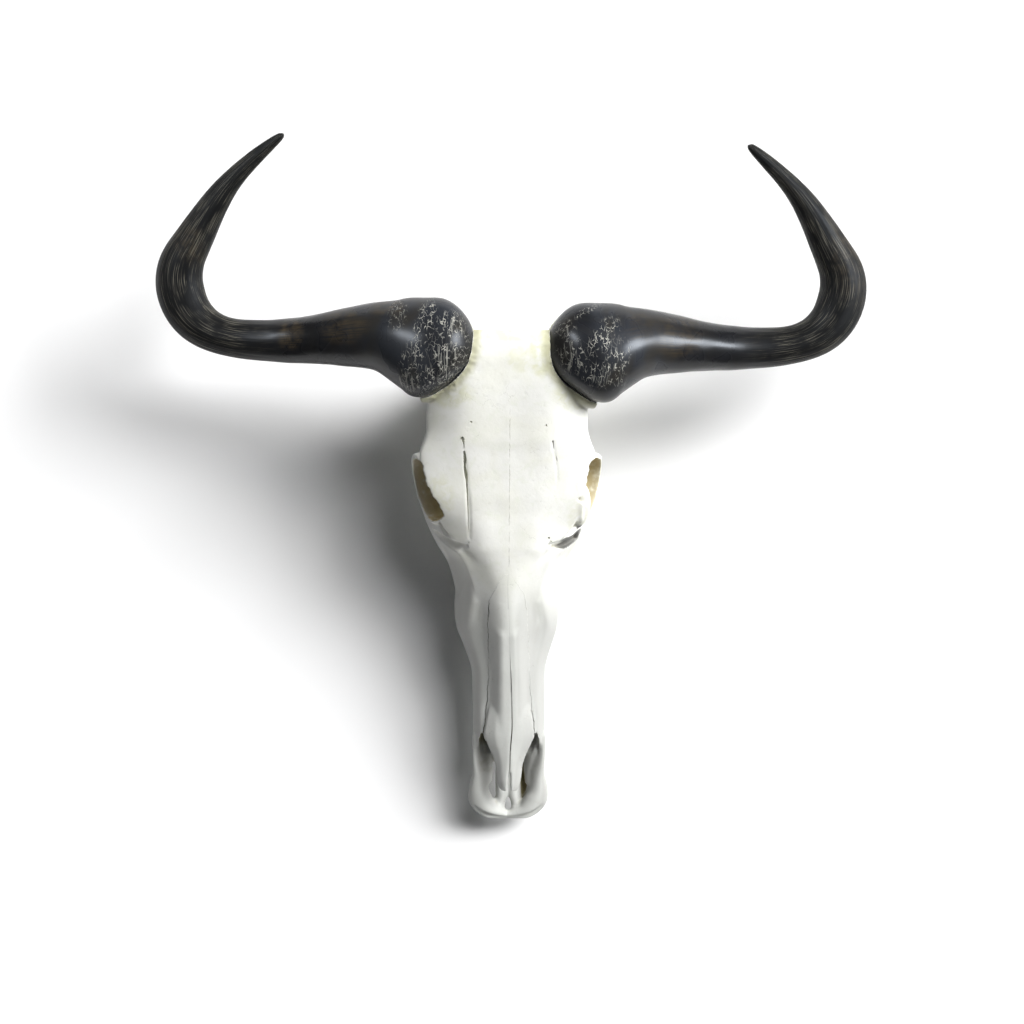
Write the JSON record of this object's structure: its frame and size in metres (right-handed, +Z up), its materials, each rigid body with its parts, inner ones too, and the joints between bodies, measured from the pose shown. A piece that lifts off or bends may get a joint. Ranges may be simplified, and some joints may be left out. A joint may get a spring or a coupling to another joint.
{
  "type": "wildebeest skull",
  "caption": "Skull of an adult blue wildebeest without its lower jaw: long pale face, open eye sockets, worn cheek teeth, and dark horns that sweep down, out and up to their tips.",
  "frame": {"origin": "middle of the bounding box at the floor that the cheek teeth and jugular processes rest on", "axes": "nose to -Y, back of the head to +Y, +X to the animal's own left along the spread of the horns, +Z up from the floor"},
  "size_m": [0.6446, 0.626, 0.214],
  "materials": {
    "bone": "dry bleached bone, matte with a soft sheen",
    "horn": "polished keratin sheath, near black"
  },
  "bodies": {
    "root": {"cranium": "bone", "nasal_left": "bone", "nasal_right": "bone", "premaxilla_left": "bone", "premaxilla_right": "bone", "horn_left": "horn", "horn_right": "horn"}
  },
  "joints": []
}
